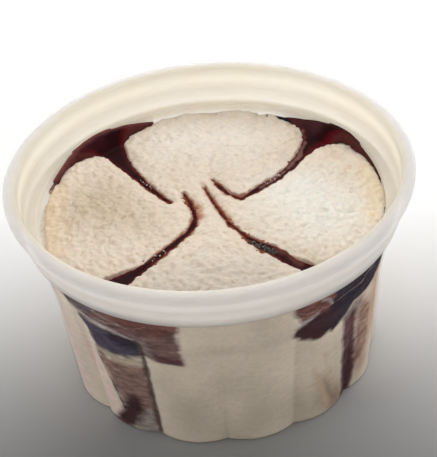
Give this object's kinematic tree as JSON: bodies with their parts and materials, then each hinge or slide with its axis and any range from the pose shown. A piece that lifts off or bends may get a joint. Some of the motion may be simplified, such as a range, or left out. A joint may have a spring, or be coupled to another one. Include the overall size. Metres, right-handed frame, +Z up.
{
  "type": "gelato cup",
  "caption": "Open fluted plastic cup with a flared collar, filled with pale gelato that ribbons of dark sauce run through.",
  "frame": {"origin": "middle of the cup's foot, on the surface that it stands on", "axes": "+Z up through the mouth, -Y towards the side that the picture shows in front, +X to its right"},
  "size_m": [0.092, 0.092, 0.0503],
  "materials": {
    "cup_plastic": "milky translucent, satin gloss",
    "gelato": "frozen cream, finely pitted",
    "sauce": "wet gloss"
  },
  "bodies": {
    "root": {"cup": "cup_plastic", "gelato": "gelato", "sauce_front_left": "sauce", "sauce_front_right": "sauce", "sauce_back_right": "sauce", "sauce_back_left": "sauce"}
  },
  "joints": []
}
